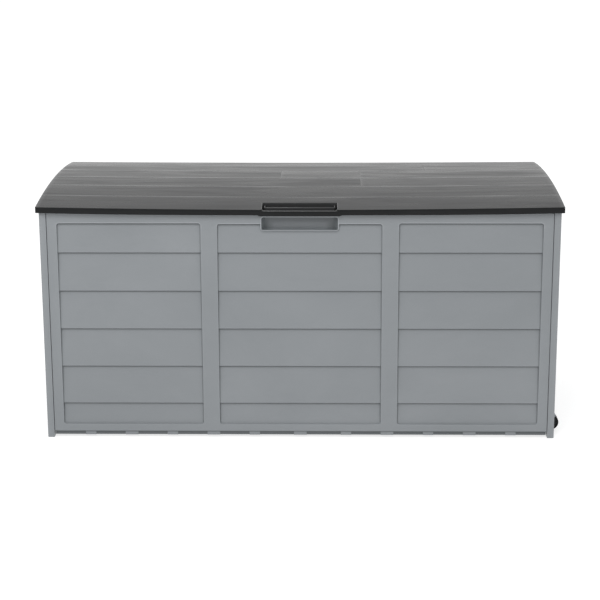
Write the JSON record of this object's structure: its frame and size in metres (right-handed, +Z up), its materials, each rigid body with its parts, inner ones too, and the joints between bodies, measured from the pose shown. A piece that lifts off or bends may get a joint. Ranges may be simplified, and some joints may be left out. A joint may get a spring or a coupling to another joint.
{
  "type": "deck storage box",
  "caption": "Long low plastic chest with overlapping-board panels, an arched planked lid hinged at the back, a finger recess and wheels at one end.",
  "frame": {"origin": "on the ground under the middle of the lid, at the underside of the base panel's middle foot", "axes": "+X to the right towards the wheels, along the box; +Y from the front to the hinged back; +Z up"},
  "size_m": [1.1315, 0.49, 0.5355],
  "materials": {
    "body_plastic": "mid grey moulded polypropylene, satin",
    "lid_plastic": "charcoal moulded polypropylene with an embossed wood grain",
    "wheel_plastic": "black moulded plastic",
    "pin_steel": "zinc-plated steel",
    "screw_steel": "zinc-plated steel"
  },
  "bodies": {
    "box": {"base_panel": "body_plastic", "front_panel": "body_plastic", "back_panel": "body_plastic", "left_side_panel": "body_plastic", "right_side_panel": "body_plastic", "left_hinge_pin": "pin_steel", "middle_hinge_pin": "pin_steel", "right_hinge_pin": "pin_steel", "front_axle": "pin_steel", "rear_axle": "pin_steel", "front_axle_push_nut": "pin_steel", "rear_axle_push_nut": "pin_steel", "front_wheel_bracket": "body_plastic", "rear_wheel_bracket": "body_plastic", "front_bracket_screws": "screw_steel", "rear_bracket_screws": "screw_steel", "front_left_corner_screws": "screw_steel", "front_right_corner_screws": "screw_steel", "back_left_corner_screws": "screw_steel", "back_right_corner_screws": "screw_steel"},
    "lid": {"lid": "lid_plastic"},
    "front_wheel": {"front_wheel": "wheel_plastic"},
    "rear_wheel": {"rear_wheel": "wheel_plastic"}
  },
  "joints": [
    {"name": "lid_hinge", "type": "hinge", "parent": "box", "child": "lid", "pos_m": [0, 0.2385, 0.497], "axis": [-1, 0, 0], "range_deg": [0, 100]},
    {"name": "front_wheel_spin", "type": "hinge", "parent": "box", "child": "front_wheel", "pos_m": [0.5545, -0.179, 0.0184], "axis": [0, 1, 0], "continuous": true},
    {"name": "rear_wheel_spin", "type": "hinge", "parent": "box", "child": "rear_wheel", "pos_m": [0.5545, 0.179, 0.0184], "axis": [0, 1, 0], "continuous": true}
  ]
}
